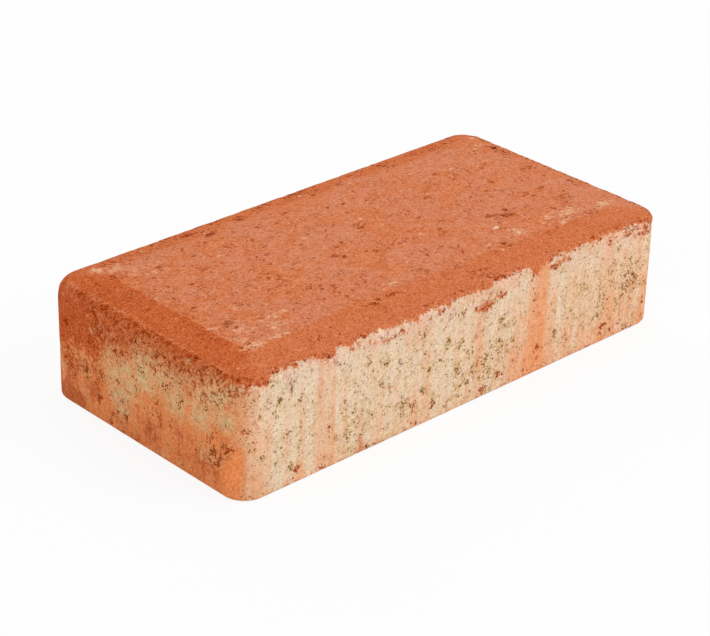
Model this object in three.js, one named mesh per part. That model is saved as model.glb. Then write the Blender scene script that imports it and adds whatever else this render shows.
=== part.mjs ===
// Concrete paving stone: one block of concrete, pressed in a steel mould.
//
// Millimetres, +Z up. The origin is the middle of the bed face, on which the stone lies.
// X runs along the stone, Y across it.
//
// The block has four upright sides with rounded corners and a flat wearing face. A broad,
// shallow band slopes from the wearing face to the sides all the way round, and rounds over
// into them at the arris. The red face mix and the pale base mix go into the mould one after
// the other and set together, so both are this one solid.

import * as THREE from "three";

// Overall size: one unit of the 200 x 100 laying grid.
const LENGTH = 200;
const WIDTH = 100;
const HEIGHT = 45;

// Plan corners: of the sides, and of the flat wearing face inside the sloping band.
const SIDE_CORNER_RADIUS = 8.5;
const FACE_CORNER_RADIUS = 4;

// Sloping band: its width in plan, and how far its slope has fallen where it reaches the side.
const BAND_WIDTH = 14.5;
const BAND_DROP = 1.5;

// Rounded edges: the arris over the side, and the foot under it.
const ARRIS_RADIUS = 3;
const FOOT_RADIUS = 1.5;

// Straight steps that each quarter turn or edge rounding is drawn with.
const CORNER_STEPS = 10;
const ARRIS_STEPS = 7;
const FOOT_STEPS = 4;

// The height of the centre of the arris's rounding. The rounding touches both the side and
// the band's slope, so its centre lies one radius square away from each.
function arrisCentreHeight(slope) {
  const fallAboveCentre = (BAND_WIDTH - ARRIS_RADIUS) * Math.tan(slope);
  return HEIGHT - fallAboveCentre - ARRIS_RADIUS / Math.cos(slope);
}

// A round edge in the section, turning clockwise from one angle to another.
function roundEdge(centreHeight, radius, from, to, steps) {
  const arc = new THREE.EllipseCurve(radius, centreHeight, radius, radius, from, to, true);
  return arc.getPoints(steps);
}

// The section's points from the bed face up to the wearing face. A point's first coordinate
// is its distance inwards from the side, its second is its height.
function sectionPoints() {
  const slope = Math.atan2(BAND_DROP, BAND_WIDTH);
  const slopeTouch = Math.PI / 2 + slope;
  return [
    ...roundEdge(FOOT_RADIUS, FOOT_RADIUS, -Math.PI / 2, -Math.PI, FOOT_STEPS),
    ...roundEdge(arrisCentreHeight(slope), ARRIS_RADIUS, Math.PI, slopeTouch, ARRIS_STEPS),
    new THREE.Vector2(BAND_WIDTH, HEIGHT),
  ];
}

// The corner radius changes evenly from the sides to the edge of the wearing face.
function cornerRadiusAt(inset) {
  return THREE.MathUtils.lerp(SIDE_CORNER_RADIUS, FACE_CORNER_RADIUS, inset / BAND_WIDTH);
}

// One level outline: a rectangle with round corners, counterclockwise from above.
function outlineAt(inset, height) {
  const radius = cornerRadiusAt(inset);
  const x = LENGTH / 2 - inset - radius;
  const y = WIDTH / 2 - inset - radius;
  const centres = [[x, y], [-x, y], [-x, -y], [x, -y]];
  return centres.flatMap(([centreX, centreY], quarter) => {
    const start = (quarter * Math.PI) / 2;
    const corner = new THREE.EllipseCurve(centreX, centreY, radius, radius, start, start + Math.PI / 2);
    return corner.getPoints(CORNER_STEPS).map((p) => new THREE.Vector3(p.x, p.y, height));
  });
}

// Two triangles for each pair of neighbours on one outline and the next one above it.
function wallTriangles(outlineCount, pointCount) {
  const triangles = [];
  for (let level = 0; level < outlineCount - 1; level += 1) {
    for (let point = 0; point < pointCount; point += 1) {
      const next = (point + 1) % pointCount;
      const low = level * pointCount;
      const high = low + pointCount;
      triangles.push(low + point, low + next, high + next);
      triangles.push(low + point, high + next, high + point);
    }
  }
  return triangles;
}

// A fan from the middle of a flat face to its outline, wound so that it faces up or down.
function faceTriangles(middle, first, pointCount, facesUp) {
  const triangles = [];
  for (let point = 0; point < pointCount; point += 1) {
    const here = first + point;
    const next = first + ((point + 1) % pointCount);
    triangles.push(middle, facesUp ? here : next, facesUp ? next : here);
  }
  return triangles;
}

// The closed block: outlines stacked along the section, with a flat face at each end.
function stoneGeometry() {
  const outlines = sectionPoints().map((p) => outlineAt(p.x, p.y));
  const pointCount = outlines[0].length;
  const points = outlines.flat();
  const bedMiddle = points.length;
  const faceMiddle = bedMiddle + 1;
  const lastOutline = bedMiddle - pointCount;
  points.push(new THREE.Vector3(0, 0, 0), new THREE.Vector3(0, 0, HEIGHT));
  const geometry = new THREE.BufferGeometry().setFromPoints(points);
  geometry.setIndex([
    ...wallTriangles(outlines.length, pointCount),
    ...faceTriangles(bedMiddle, 0, pointCount, false),
    ...faceTriangles(faceMiddle, lastOutline, pointCount, true),
  ]);
  geometry.computeVertexNormals();
  return geometry;
}

function pavingStone() {
  const concrete = new THREE.MeshStandardMaterial({
    color: 0xcf7a52,
    roughness: 0.9,
    metalness: 0,
  });
  const stone = new THREE.Mesh(stoneGeometry(), concrete);
  stone.name = "paving_stone";
  return stone;
}

const product = new THREE.Group();
product.name = "concrete_paving_stone";
product.add(pavingStone());

export default product;
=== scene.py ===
# %% [markdown]
# # A pressed concrete paving stone
#
# The stone is one block of concrete, pressed in a steel mould. A red face mix and a pale
# base mix go into the mould one after the other, and they set together into one solid.
# This lesson takes the block's size from the CAD frame, and makes what a hand feels and an
# eye sees on it: open pores, drag marks from the mould, the torn line between the two
# mixes, the worn film on top, and the colours of all of these.
#
# The stone is worked out in millimetres and goes into Blender in metres. The camera, the
# floor and the lamps are given in metres.

from itertools import product
from math import atan2, cos, degrees, pi, radians, sin, tan

import bpy
import numpy as np
from mathutils import Matrix, Vector


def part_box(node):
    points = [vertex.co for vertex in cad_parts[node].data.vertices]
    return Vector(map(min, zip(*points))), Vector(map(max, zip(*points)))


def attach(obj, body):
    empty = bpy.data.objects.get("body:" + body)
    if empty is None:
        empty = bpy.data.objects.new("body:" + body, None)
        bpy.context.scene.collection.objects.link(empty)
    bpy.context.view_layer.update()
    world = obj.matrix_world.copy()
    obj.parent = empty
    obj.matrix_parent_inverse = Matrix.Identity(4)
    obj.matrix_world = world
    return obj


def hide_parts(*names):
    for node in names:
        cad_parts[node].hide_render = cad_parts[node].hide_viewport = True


MM = 0.001
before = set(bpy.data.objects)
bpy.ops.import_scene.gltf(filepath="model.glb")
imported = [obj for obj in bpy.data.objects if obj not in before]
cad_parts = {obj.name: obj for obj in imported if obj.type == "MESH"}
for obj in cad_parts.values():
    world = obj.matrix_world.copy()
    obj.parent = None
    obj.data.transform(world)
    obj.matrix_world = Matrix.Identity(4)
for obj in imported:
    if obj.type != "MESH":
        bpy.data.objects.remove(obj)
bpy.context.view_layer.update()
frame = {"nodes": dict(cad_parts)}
low_corner, high_corner = (np.array(corner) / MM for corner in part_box("paving_stone"))
BLOCK_SIZE = high_corner - low_corner
LENGTH, WIDTH, HEIGHT = BLOCK_SIZE
print("CAD nodes:", ", ".join(frame["nodes"]))
print(f"block: {LENGTH:.1f} x {WIDTH:.1f} x {HEIGHT:.1f} mm")

# %% [markdown]
# ## The camera
#
# The camera comes first, because every later choice is judged through it. It stands under
# a metre from the stone and has a long lens, which keeps the far end of the block from
# shrinking. A tripod head is set by an angle round, an angle down and a small roll, so the
# camera is written that way too, and a matrix is made from the angles.

# %% Place the camera
LENS = 115.24
SENSOR_WIDTH = 36.0
LOOK_AROUND = radians(43.921)
LOOK_DOWN = radians(27.540)
ROLL = radians(1.608)
CAMERA_PLACE = Vector((-0.49658, -0.51092, 0.38568))


def look_axes(around, down, roll):
    """The camera's right, up and backward axes. Turned by no angle, it looks along +Y."""
    forward = Vector((sin(around) * cos(down), cos(around) * cos(down), -sin(down)))
    level_right = Vector((cos(around), -sin(around), 0.0))
    level_up = level_right.cross(forward)
    right = level_right * cos(roll) + level_up * sin(roll)
    up = level_up * cos(roll) - level_right * sin(roll)
    return right, up, -forward


camera_data = bpy.data.cameras.new("product_camera")
camera_data.lens = LENS
camera_data.sensor_width = SENSOR_WIDTH
camera = bpy.data.objects.new("product_camera", camera_data)
camera_turn = Matrix(look_axes(LOOK_AROUND, LOOK_DOWN, ROLL)).transposed().to_4x4()
camera.matrix_world = Matrix.Translation(CAMERA_PLACE) @ camera_turn
bpy.context.scene.collection.objects.link(camera)
bpy.context.scene.camera = camera
print(f"camera: {CAMERA_PLACE.length:.3f} m from the middle of the bed")

# %% [markdown]
# ## A grid over the whole block
#
# A block could start as a subdivided cube, but then its corners and its edges would be
# rounded by whatever the modifier does. Here each of the six sides is a grid of two
# parameters in whole steps, and the six grids share the points along their edges, so the
# skin is closed from the start. About 0.8 mm between points is fine enough for the pores.

# %% Number the grid's points and join them into faces
STEPS = np.array([240, 120, 54])


def side_grid(axis, far):
    """One side's faces, as whole steps (i, j, k) of their four corners. Two axes run over
    the side and the third is fixed; the corners turn the way that faces outwards."""
    across, along = (axis + 1) % 3, (axis + 2) % 3
    u, v = np.meshgrid(np.arange(STEPS[across] + 1), np.arange(STEPS[along] + 1), indexing="ij")
    grid = np.zeros(u.shape + (3,), int)
    grid[..., axis] = far * STEPS[axis]
    grid[..., across] = u
    grid[..., along] = v
    corners = np.stack([grid[:-1, :-1], grid[1:, :-1], grid[1:, 1:], grid[:-1, 1:]], 2)
    corners = corners.reshape(-1, 4, 3)
    return corners if far else corners[:, ::-1]


SIDES = [(axis, far) for axis in range(3) for far in (0, 1)]
side_faces = [side_grid(axis, far) for axis, far in SIDES]
corner_steps = np.concatenate(side_faces)
steps, face_points = np.unique(corner_steps.reshape(-1, 3), axis=0, return_inverse=True)
face_points = face_points.reshape(-1, 4)
print(len(steps), "points,", len(face_points), "faces,", 2 * len(face_points), "triangles")

# %% [markdown]
# ## Bend the block's section
#
# The mould gives the stone a broad shallow band round the top, a round arris under the
# band and a small round foot. Bevels could cut them, but the grid has to stay whole, so its
# sharp edges are bent instead. Each point keeps its distance in from the side, its inset,
# and the section moves it onto the band or a round.

# %% Bend the section
BAND_WIDTH = 14.5
BAND_DROP = 1.5
ARRIS_RADIUS = 3.0
FOOT_RADIUS = 1.5
SLOPE = atan2(BAND_DROP, BAND_WIDTH)
ARRIS_CENTRE = HEIGHT - (BAND_WIDTH - ARRIS_RADIUS) * tan(SLOPE) - ARRIS_RADIUS / cos(SLOPE)
ARRIS_INSET = ARRIS_RADIUS * (1 - sin(SLOPE))
HALF_PLAN = BLOCK_SIZE[:2] / 2
TINY = 1e-9


def bend_section(inset, height):
    """Insets and heights on the real section. The last stretch on either side of a sharp
    edge becomes the angle of a round: t runs 0 to 1 over both stretches, and the point at
    angle a lies at inset r (1 - cos a) and r sin a from the round's centre."""
    at_top = height > HEIGHT - TINY
    past_wall = np.where(at_top, HEIGHT - ARRIS_CENTRE + inset, height - ARRIS_CENTRE)
    t = np.clip(past_wall / (HEIGHT - ARRIS_CENTRE + ARRIS_INSET), 0, 1)
    arris = (t > 0) & (t < 1) & (height > HEIGHT / 2)
    arris_angle = t * (pi / 2 - SLOPE)
    below_wall = np.where(height < TINY, FOOT_RADIUS + inset, FOOT_RADIUS - height)
    t = np.clip(below_wall / (2 * FOOT_RADIUS), 0, 1)
    foot = (t > 0) & (t < 1) & (height < HEIGHT / 2)
    foot_angle = t * pi / 2
    band = at_top & ~arris
    height = np.where(band, HEIGHT - np.clip(BAND_WIDTH - inset, 0, None) * tan(SLOPE), height)
    height = np.where(arris, ARRIS_CENTRE + ARRIS_RADIUS * np.sin(arris_angle), height)
    height = np.where(foot, FOOT_RADIUS * (1 - np.sin(foot_angle)), height)
    inset = np.where(arris, ARRIS_RADIUS * (1 - np.cos(arris_angle)), inset)
    inset = np.where(foot, FOOT_RADIUS * (1 - np.cos(foot_angle)), inset)
    return inset, height


block = steps / STEPS * BLOCK_SIZE - [LENGTH / 2, WIDTH / 2, 0]
sharp_inset = (HALF_PLAN - np.abs(block[:, :2])).min(axis=1)
inset, height = bend_section(sharp_inset, block[:, 2])
print(f"heights: {height.min():.1f} to {height.max():.1f} mm, slope: {degrees(SLOPE):.1f} degrees")

# %% [markdown]
# ## Round its corners in plan
#
# Seen from above, every inset has an outline of its own: straight runs, joined by round
# corners that shrink from the side to the wearing face. The points of one inset are moved
# from the sharp outline onto the round one, and on the way each learns which way it faces.

# %% Round the plan
SIDE_CORNER_RADIUS = 8.5
FACE_CORNER_RADIUS = 4.0


def corner_radius(inset):
    """The plan's corner radius, which shrinks evenly from the side to the wearing face."""
    rate = (SIDE_CORNER_RADIUS - FACE_CORNER_RADIUS) / BAND_WIDTH
    return np.clip(SIDE_CORNER_RADIUS - rate * inset, 0, None)[:, None]


def round_plan(plan, sharp_inset, inset):
    """Plan points moved from the sharp outline at one inset onto the round-cornered outline
    at another. The part of a point that sticks out past the corner's centre gives the way
    it faces, and the point goes one corner radius that way from the centre."""
    straight = HALF_PLAN - sharp_inset[:, None] - corner_radius(sharp_inset)
    centre = np.clip(plan, -straight, straight)
    out = plan - centre
    facing = out / np.maximum(np.linalg.norm(out, axis=1, keepdims=True), TINY)
    new_straight = HALF_PLAN - inset[:, None] - corner_radius(inset)
    centre = centre * new_straight / np.maximum(straight, TINY)
    return centre + facing * corner_radius(inset), facing


plan, facing = round_plan(block[:, :2], sharp_inset, inset)
smooth = np.column_stack([plan, height])
x, y, z = smooth.T
print("pressed block:", smooth.min(axis=0).round(2), "to", smooth.max(axis=0).round(2))

# %% [markdown]
# ## Make the mesh, and read which way each point faces
#
# The arrays go into a mesh in one call. Blender then works out the normals, and relief is
# cut along them. They could be worked out by hand from the section's angles, but the mesh
# already knows them.

# %% Build the smooth mesh
mesh = bpy.data.meshes.new("pressed_stone")
mesh.from_pydata(smooth * MM, [], face_points)
mesh.shade_smooth()
normal = np.empty(smooth.size, np.float32)
mesh.vertex_normals.foreach_get("vector", normal)
normal = normal.reshape(-1, 3)
pointing_out = (smooth - [0, 0, HEIGHT / 2]) * normal
print("smallest outward part of a normal:", pointing_out.sum(axis=1).min().round(2))

# %% [markdown]
# ## Noise on the points
#
# Concrete is random but not wild: a hollow has a size and a softness. Value noise gives
# that. Each corner of a cubic lattice has a random value, and a point takes a smooth blend
# of the eight corners round it. The lattice's cell is then the size of the hollows. Adding
# a finer, weaker copy of itself breaks up the soft shapes.

# %% Noise, slopes and spots as whole arrays
LATTICE = 64


def soft_noise(points, size, seed):
    """Value noise from -1 to 1: random lattice values, blended with weights 3t2 - 2t3."""
    table = np.random.default_rng(seed).uniform(-1, 1, (LATTICE,) * 3)
    cells = points / size
    first = np.floor(cells).astype(int)
    t = cells - first
    t = t * t * (3 - 2 * t)
    total = np.zeros(len(points))
    for corner in product((0, 1), repeat=3):
        weight = np.where(corner, t, 1 - t).prod(axis=1)
        i, j, k = ((first + corner) % LATTICE).T
        total += weight * table[i, j, k]
    return total


def rough_noise(points, size, seed, layers=3):
    """Soft noise plus copies of half the size and half the strength, scaled back to -1..1."""
    shares = 0.5 ** np.arange(layers)
    parts = [s * soft_noise(points, size * s, seed + n) for n, s in enumerate(shares)]
    return sum(parts) / shares.sum()


def rise(value, low, high):
    """0 below low, 1 above high, and a smooth slope between."""
    t = np.clip((value - low) / (high - low), 0, 1)
    return t * t * (3 - 2 * t)


def spots(across, up, marks):
    """The strongest of some soft oval marks: each is 1 less the distance from its middle
    (measured in its own half sizes), never below 0. A mark is (middle across, middle up,
    half width, half height, strength)."""
    total = np.zeros(len(across))
    for middle_across, middle_up, half_across, half_up, strength in marks:
        away = np.hypot((across - middle_across) / half_across, (up - middle_up) / half_up)
        total = np.maximum(total, strength * np.clip(1 - away, 0, 1))
    return total


sample = rough_noise(smooth, 5.0, 0)
print(f"rough noise: {sample.min():.2f} to {sample.max():.2f}, {sample.mean():.2f} on average")

# %% [markdown]
# ## Which side a point is on
#
# Most marks belong to one side of the stone, or to its top. The sides meet in round
# corners, so a point doesn't get the name of one side but a share of each, from the way it
# faces. Squared, the shares add up to one all the way round a corner, so a number can
# change from one side's to the next one's without a seam. The flat middle of the top and
# that of the underside face none of the four. How far a normal points up tells the walls
# from the top. The camera sees two sides, the long front and the short left one.

# %% Shares of the four sides, the top and the underside
FLAT, STEEP = 0.75, 0.35
BED_FADE = 5.0
toward_left, toward_front = (np.clip(-facing, 0, 1) ** 2).T
toward_right, toward_back = (np.clip(facing, 0, 1) ** 2).T
upper_half = z > HEIGHT / 2
on_wall = rise(np.abs(normal[:, 2]), FLAT, STEEP)
on_top = upper_half * rise(normal[:, 2], STEEP, FLAT)
flat_top = on_top * rise(inset, BAND_WIDTH - 1.0, BAND_WIDTH)
under = rise(inset, FOOT_RADIUS, FOOT_RADIUS + BED_FADE) * ~upper_half


def along_sides(front, left, back, right):
    """One number at every point from a number on each side, blended by the way it faces."""
    return toward_front * front + toward_left * left + toward_back * back + toward_right * right


print(f"{on_wall.mean():.0%} of the points are on the walls, {on_top.mean():.0%} on the top")

# %% [markdown]
# ## Where the face mix ends and the base mix starts
#
# The red face mix is a few millimetres deep. On the long sides it was torn off just under
# the arris as the stone left the mould, and on the left side it was smeared far down. The
# line could be painted on by hand, but a few points along each side, with the line's
# height there, say the same and are easy to change. A height is measured up the wall and
# on over the arris, so that the line can run there too.

# %% The torn line, as places along each side and heights
FRONT_LINE = [
    (-100, 39.4), (-95, 42.4), (-92.5, 41.3), (-89, 40.8), (-88, 44.4), (-80, 44.4), (-77, 43.5),
    (-76, 44.5), (-70, 44.3), (-67, 42), (-61, 40.9), (-60, 43.9), (-55, 43.6), (-52.6, 41.9),
    (-51.6, 43.9), (-38, 43.7), (-34, 42.4), (-31, 41.9), (-30, 43.2), (-27, 42.2), (-23.4, 41.4),
    (-22, 42.6), (-15, 43.5), (-11, 43.3), (-9.4, 41.2), (-8.2, 41.2), (-7.8, 43.2), (-1, 43.8),
    (4, 42.9), (11, 42.2), (12.4, 43.5), (24, 43.6), (30.8, 43.9), (31.4, 39.3), (34, 39.9),
    (36.5, 42), (41, 42.9), (45, 44), (52, 43.4), (59.5, 44.1), (61.5, 43), (66, 42.4),
    (67.5, 43.5), (72, 43.9), (79, 43), (84, 43.8), (88, 42.6), (92, 41.6), (96, 40.6),
    (100, 39.6),
]
LEFT_LINE = [
    (-50, 39.2), (-46, 40.2), (-41, 39.8), (-36, 41), (-33, 39.8), (-30, 37.8), (-25, 35.6),
    (-20, 35), (-10, 37), (-4, 36.8), (2, 35.4), (6, 32.4), (10, 30.2), (14, 29.6), (18, 29.6),
    (20.5, 26.6), (23, 24), (25, 23.4), (28, 21.6), (31, 25), (34, 21.4), (37, 24.4), (41, 20.4),
    (50, 19),
]
BACK_LINE = [
    (-100, 22), (-96, 25), (-94, 31), (-91, 31.5), (-88, 38), (-85, 37), (-83, 41.5), (-78, 43.2),
    (-71, 42.2), (-69, 39.5), (-66, 39.8), (-65, 43.4), (-40, 43.8), (-22, 42.9), (-14, 41),
    (-11, 43.6), (20, 43.9), (31, 42.6), (33, 40.6), (38, 40.9), (40, 43.5), (66, 43.2),
    (74, 41.6), (80, 43.4), (92, 42.8), (100, 40),
]
RIGHT_LINE = [
    (-50, 39.6), (-44, 40.4), (-34, 38.5), (-22, 36.5), (-16, 39.5), (-4, 40.5), (3, 38),
    (9, 33.5), (14, 34.5), (18, 39), (30, 41), (38, 40.5), (50, 40),
]


def line_height(points_of_line, along):
    """The height of a line of straight pieces at some places along it."""
    place, level = np.transpose(points_of_line)
    return np.interp(along, place, level)


line = along_sides(
    line_height(FRONT_LINE, x),
    line_height(LEFT_LINE, y),
    line_height(BACK_LINE, x),
    line_height(RIGHT_LINE, y),
)
print(f"highest place of the line: {line.max():.1f} mm")

# %% [markdown]
# ## How torn the edge is
#
# A point's distance above the line says which mix it is made of. Two more numbers go with
# it: the reach is how far the torn edge wanders from the line, and the blur is how softly
# one mix fades into the other. Both are large on the left side and at the back corner next
# to it, where the red was smeared and not torn. The bed is all base mix, so it is put far
# below the line.

# %% Distance above the line, its reach and its blur
OVER_THE_ARRIS = 0.74
FAR = 12.0
LEAST_BLUR = 0.6
climb = z + OVER_THE_ARRIS * inset * upper_half
above_line = np.clip(climb - line - FAR * under, -FAR, FAR)
back_corner = rise(x, -80, -94)
tear_reach = along_sides(6.0, 19.0, 7.0 + 9.0 * back_corner, 14.0)
left_blur = 15.0 - 10.0 * rise(y, 14, 24) - 9.0 * rise(y, -35, -45)
tear_blur = along_sides(LEAST_BLUR, left_blur, LEAST_BLUR + 6.0 * back_corner, 2.5)
tear_blur = np.maximum(tear_blur, LEAST_BLUR)
print(f"face mix covers {(above_line > 0).mean():.0%} of the points")

# %% [markdown]
# ## Islands on both sides of the line
#
# Below the line a few scabs of the red mix stayed on, and above it, on the left side, the
# pale mix shows through the smear. A mark is an oval with a strength, and the strongest
# mark at a point pushes that point's distance above the line up or down.

# %% Scabs and bare patches
FRONT_SCABS = [
    (8.5, 35.6, 4.6, 2.4, 1.5), (4, 36.2, 1.4, 1, 1), (16, 37.1, 3, 1.1, 1.2),
    (43, 39.7, 3.4, 1.6, 1.4), (45.8, 41.2, 2.4, 1.1, 1.1), (49.5, 40.5, 2.4, 1, 0.8),
    (-37.5, 38.8, 3.4, 1.2, 0.7), (-42.6, 39.8, 1.6, 1, 0.8), (-30.4, 39.2, 1.4, 1.2, 0.8),
    (-52.8, 41, 1.3, 1.6, 0.9), (81, 41.2, 2, 1.2, 0.9), (89.8, 38.2, 1.6, 2.4, 0.8),
    (94.4, 41, 1.6, 1.4, 0.9), (74.6, 40.8, 1.8, 0.8, 0.7), (-96.5, 25.6, 1.5, 1.6, 0.8),
    (-13.4, 41.2, 1.6, 1.4, 0.7),
]
LEFT_SCABS = [
    (11.5, 30.5, 3.6, 3.6, 5.5), (38.5, 17, 6.5, 5, 6), (31.5, 19, 5, 4, 3.6), (24, 12, 3, 5, 4.4),
    (-4.5, 7.5, 4, 4, 4.6), (9, 7.9, 5, 1.6, 4.4), (-24.5, 40, 3.4, 2.4, 6), (23, 19, 4, 3, 4),
    (26, 28, 3, 2, 8), (14.5, 6, 2, 2, 4.5), (-38, 14, 4, 1.6, 4), (-42, 18, 3.4, 1.6, 4),
]
LEFT_BARE = [
    (21.5, 36, 3.8, 3, 15), (26.5, 33.5, 3.8, 3, 13), (-22.6, 42.5, 3.4, 2.8, 7),
    (-27, 38, 3, 3, 3), (-36, 38.5, 4, 4, 3), (33.5, 41, 3, 2, 4), (31, 21.5, 3.4, 3, 3),
    (17, 41.5, 3, 2, 3), (-12, 40.5, 7, 2, 1.5), (-44, 42, 5, 3, 3), (2, 39.5, 6, 2.6, 1),
]

scabs = toward_front * spots(x, climb, FRONT_SCABS) + toward_left * spots(y, climb, LEFT_SCABS)
above_line = np.where(scabs > 0, np.maximum(above_line, scabs - tear_blur / 2), above_line)
above_line = above_line - toward_left * spots(y, climb, LEFT_BARE)
print(f"scabs on {(scabs > tear_blur / 2).mean():.1%} of the points")

# %% [markdown]
# ## Streaks that the mould dragged
#
# The stone slides out of the mould along its sides. That smears some of the red mix over
# the pale one as upright orange streaks, and closes the pores there. A streak is a tall
# narrow mark. Its strength falls off evenly from its middle, and a power below one keeps it
# fuller towards its rim.

# %% Streaks on three sides
FULLNESS = 0.7
FRONT_STREAKS = [
    (37.2, 16, 4.8, 62, 1.08), (33, 6, 11, 34, 0.92), (-64.6, 10, 4.2, 60, 0.44),
    (-61.3, 8, 1, 36, 0.85), (-101, 12, 5, 13, 1.6), (-96, 35, 9, 10, 0.2),
    (-93.6, 6, 3, 12, 0.35), (-17.6, 14, 4.4, 24, 0.09), (-24, 6, 3.4, 18, 0.08),
    (74, 12, 4, 26, 0.25), (50.6, 7, 2, 14, 0.12), (91, 3, 7, 18, 0.6), (-77, 2, 4.5, 8, 0.45),
    (83, 10, 6, 12, 0.5), (69, 3, 12, 9, 0.3), (81.5, 30, 2, 7, 0.3), (4, 26, 9, 24, 0.12),
    (92, 18, 9, 28, 0.45), (90, 39, 9, 6, 0.3), (16, 40, 9, 5, 0.35), (74, 38, 9, 8, 0.2),
    (26, 9, 8, 14, 0.3), (-47, 38, 8, 6, 0.12), (-23, 36, 9, 7, 0.15), (-91, 20, 6, 16, 0.12),
]
BACK_STREAKS = [
    (-97, 12, 14, 34, 0.9), (-58, 14, 5, 46, 0.5), (-45, 4, 11, 16, 0.4), (-16, 5, 6, 22, 0.3),
    (24, 3, 9, 20, 0.5), (33, 22, 4.4, 80, 0.8), (-6, 30, 1.4, 30, 0.5), (52, 3, 12, 8, 0.4),
    (74, 8, 8, 26, 0.45), (90, 3, 9, 16, 0.6),
]
RIGHT_STREAKS = [
    (-44, 8, 8, 22, 0.8), (-20, 10, 5, 40, 0.9), (-8, 6, 7, 16, 0.7), (11, 18, 4, 40, 1),
    (20, 4, 9, 12, 0.8), (38, 9, 6, 26, 0.9),
]

front_smear = spots(x, z, FRONT_STREAKS) ** FULLNESS
back_smear = spots(x, z, BACK_STREAKS) ** FULLNESS
right_smear = spots(y, z, RIGHT_STREAKS) ** FULLNESS
counts = [len(marks) for marks in (FRONT_STREAKS, BACK_STREAKS, RIGHT_STREAKS)]
print("streaks on the front, the back and the right side:", *counts)

# %% [markdown]
# ## The smeared left side
#
# On the left side the smear covers the whole lower half, so it is drawn like the torn
# line: as heights along the side, with noise to ruffle them. Bare patches are left in the
# smear, and blushes of its colour lie above it. Rust has gathered towards the foot, and
# the near corner was rubbed to a clean orange up to a slanting edge.

# %% Smear, patches, blushes, rust and the rubbed corner
LEFT_DRAG = [
    (-50, 33), (-46.5, 31.5), (-44, 25), (-40, 26), (-36, 24.5), (-31, 20), (-25, 20.5),
    (-22, 22.5), (-20, 19), (-17.5, 22.5), (-15, 23.6), (-8, 23.4), (-2, 21), (2, 18.5), (5.5, 15),
    (8.5, 9), (14, 10.5), (17, 12), (23.5, 27), (50, 27),
]
LEFT_PATCHES = [
    (31, 18, 5, 6, 0.8), (43.5, 13, 3, 4.5, 0.9), (24, 18.5, 3, 4, 0.6), (31, 8.5, 3.6, 5.5, 0.5),
    (-31, 12, 3, 4, 0.7), (-46, 24, 4, 7, 0.3), (-10, 2.5, 5, 2.6, 0.6), (-3, 12, 2, 2.5, 0.5),
    (9.5, 10, 8, 7, 0.7), (-50, 29, 5, 8, 0.25), (-1, 17, 5, 5, 0.3), (-36, 13, 7, 5, 0.6),
    (-16, 21, 6, 4, 0.6), (-20, 3, 5, 2.5, 0.3), (-34, 21, 4, 3, 0.5),
]
LEFT_BLUSHES = [
    (-6.5, 27.5, 3, 3.6, 0.6), (-24, 25, 3.4, 3.4, 0.8), (-43, 33, 3, 3.6, 0.8),
    (-37, 28.5, 3, 3, 0.3), (16, 18, 4, 6, 0.4), (-35, 37.5, 2.4, 2.4, 0.5), (9, 33, 3, 2, 0.6),
    (19.5, 23, 2.4, 5, 0.5), (-25, 31, 4, 5, 0.7), (7, 31, 4, 3, 0.5), (-6, 31, 4, 3, 0.4),
    (-47, 34, 5, 8, 0.9),
]
LEFT_RUST = [
    (44, 3, 20, 9, 1.6), (5, 3, 18, 6, 0.65), (-4, 8, 7, 9, 0.85), (-21, 9, 8, 14, 0.35),
    (28, 10, 7, 8, 0.6), (-31, 7, 16, 8, 0.65), (38, 12, 9, 7, 0.5), (-10, 14, 8, 5, 0.4),
    (-25, 13, 6, 6, 0.5),
]

smear_depth = line_height(LEFT_DRAG, y) - z + 3.0 * rough_noise(smooth, 5, 20)
left_smear = rise(smear_depth, -4.0, 4.0) - spots(y, z, LEFT_PATCHES) + spots(y, z, LEFT_BLUSHES)
drag = along_sides(front_smear, left_smear, back_smear, right_smear)
drag = np.clip(drag, 0, 1) * (1 - under)
rust = toward_left * spots(y, z, LEFT_RUST) * (1 - under)
rub_top = 12.5 - 0.9 * (y + 42.0)
corner_rub = rise(y, -38.5, -43.5) * rise(x, -96.8, -99.0) * rise(z, rub_top + 4.0, rub_top)
corner_rub = corner_rub * rise(z, 0.0, 7.0)
print(f"dragged: {(drag > 0.5).mean():.0%} of the points")

# %% [markdown]
# ## Grime in the open pores
#
# Between the streaks the surface stays open, and dark dirt gathers in its pores in
# clusters. On the front and the left side they are marks, and on the back and the right
# side noise sets them. A streak has closed its pores and keeps half the grime off, except on
# the left side, where dirt lies on the smear too. The bed has an even share of it.

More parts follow.
